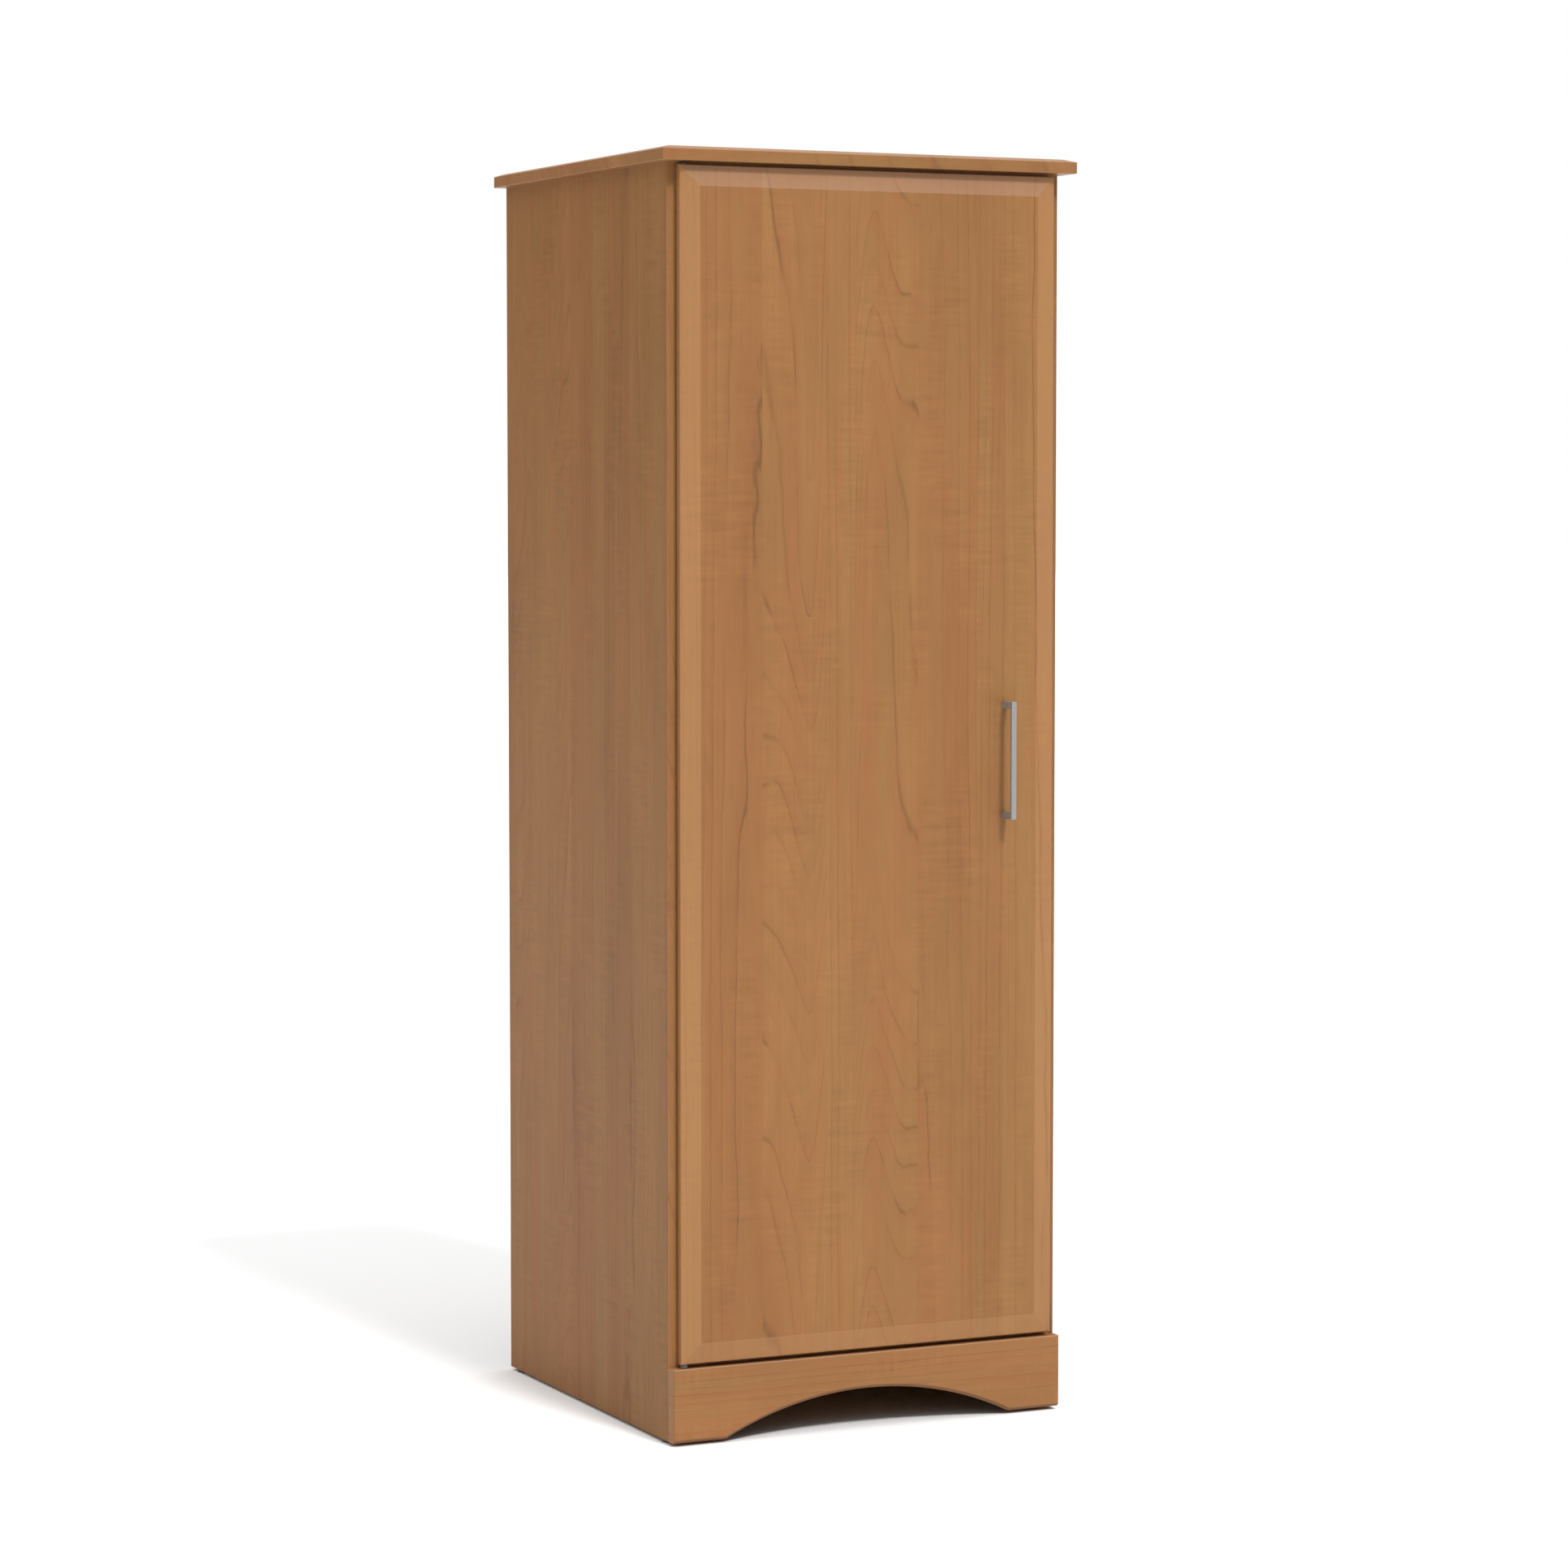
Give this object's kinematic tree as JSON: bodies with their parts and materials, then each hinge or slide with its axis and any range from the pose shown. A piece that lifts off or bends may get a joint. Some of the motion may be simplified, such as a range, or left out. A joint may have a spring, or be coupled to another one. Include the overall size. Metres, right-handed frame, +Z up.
{
  "type": "tall storage cabinet",
  "caption": "Tall single-door pantry or wardrobe cabinet with a bevelled door, overhanging cap, shelves and an arched base rail.",
  "frame": {"origin": "on the floor, midway across the width and midway between the front of the door pull and the back edge of the cap", "axes": "+X to the right and +Y to the back, as someone facing the door sees it, +Z up"},
  "size_m": [0.653, 0.6604, 1.829],
  "materials": {
    "cherry_laminate": "satin wood-grain laminate on board",
    "cherry_foil": "satin wood-grain foil pressed over the shaped door and rail",
    "cherry_edge": "matching edge band",
    "hardboard": "printed hardboard",
    "pine": "planed softwood",
    "beech": "turned hardwood",
    "satin_nickel": "satin",
    "zinc_steel": "bright zinc plate",
    "blackened_steel": "black oxide",
    "black_plastic": "matte",
    "white_plastic": "matte",
    "clear_rubber": "soft, translucent grey"
  },
  "bodies": {
    "cabinet": {"left_side_panel": "cherry_laminate", "right_side_panel": "cherry_laminate", "side_edge_bands": "cherry_edge", "cap": "cherry_foil", "back_panel": "hardboard", "wall_fixing_rail": "cherry_laminate", "rear_base_rail": "cherry_laminate", "arched_base_rail": "cherry_foil", "rail_corner_blocks": "pine", "rail_block_screws": "zinc_steel", "floor_glides": "black_plastic", "glide_nails": "zinc_steel", "shelf_edge_bands": "cherry_edge", "shelf_pins": "zinc_steel", "cam_locks": "zinc_steel", "cam_bolts": "zinc_steel", "joint_dowels": "beech", "cap_screws": "zinc_steel", "back_panel_screws": "zinc_steel", "pivot_pins": "blackened_steel", "thrust_washer": "black_plastic", "door_catches": "white_plastic", "catch_screws": "zinc_steel", "door_bumpers": "clear_rubber", "sub_top": "cherry_laminate", "middle_shelf": "cherry_laminate", "bottom_panel": "cherry_laminate", "adjustable_shelf_1": "cherry_laminate", "adjustable_shelf_2": "cherry_laminate", "adjustable_shelf_3": "cherry_laminate", "adjustable_shelf_4": "cherry_laminate"},
    "door": {"door_panel": "cherry_foil", "pull_bar": "satin_nickel", "pull_posts": "satin_nickel", "pull_screws": "zinc_steel", "pivot_bushes": "black_plastic", "catch_strikes": "zinc_steel", "strike_screws": "zinc_steel"}
  },
  "joints": [
    {"name": "door_swing", "type": "hinge", "parent": "cabinet", "child": "door", "pos_m": [-0.29, -0.28925, 0.1106], "axis": [0, 0, -1], "range_deg": [0, 170]}
  ]
}
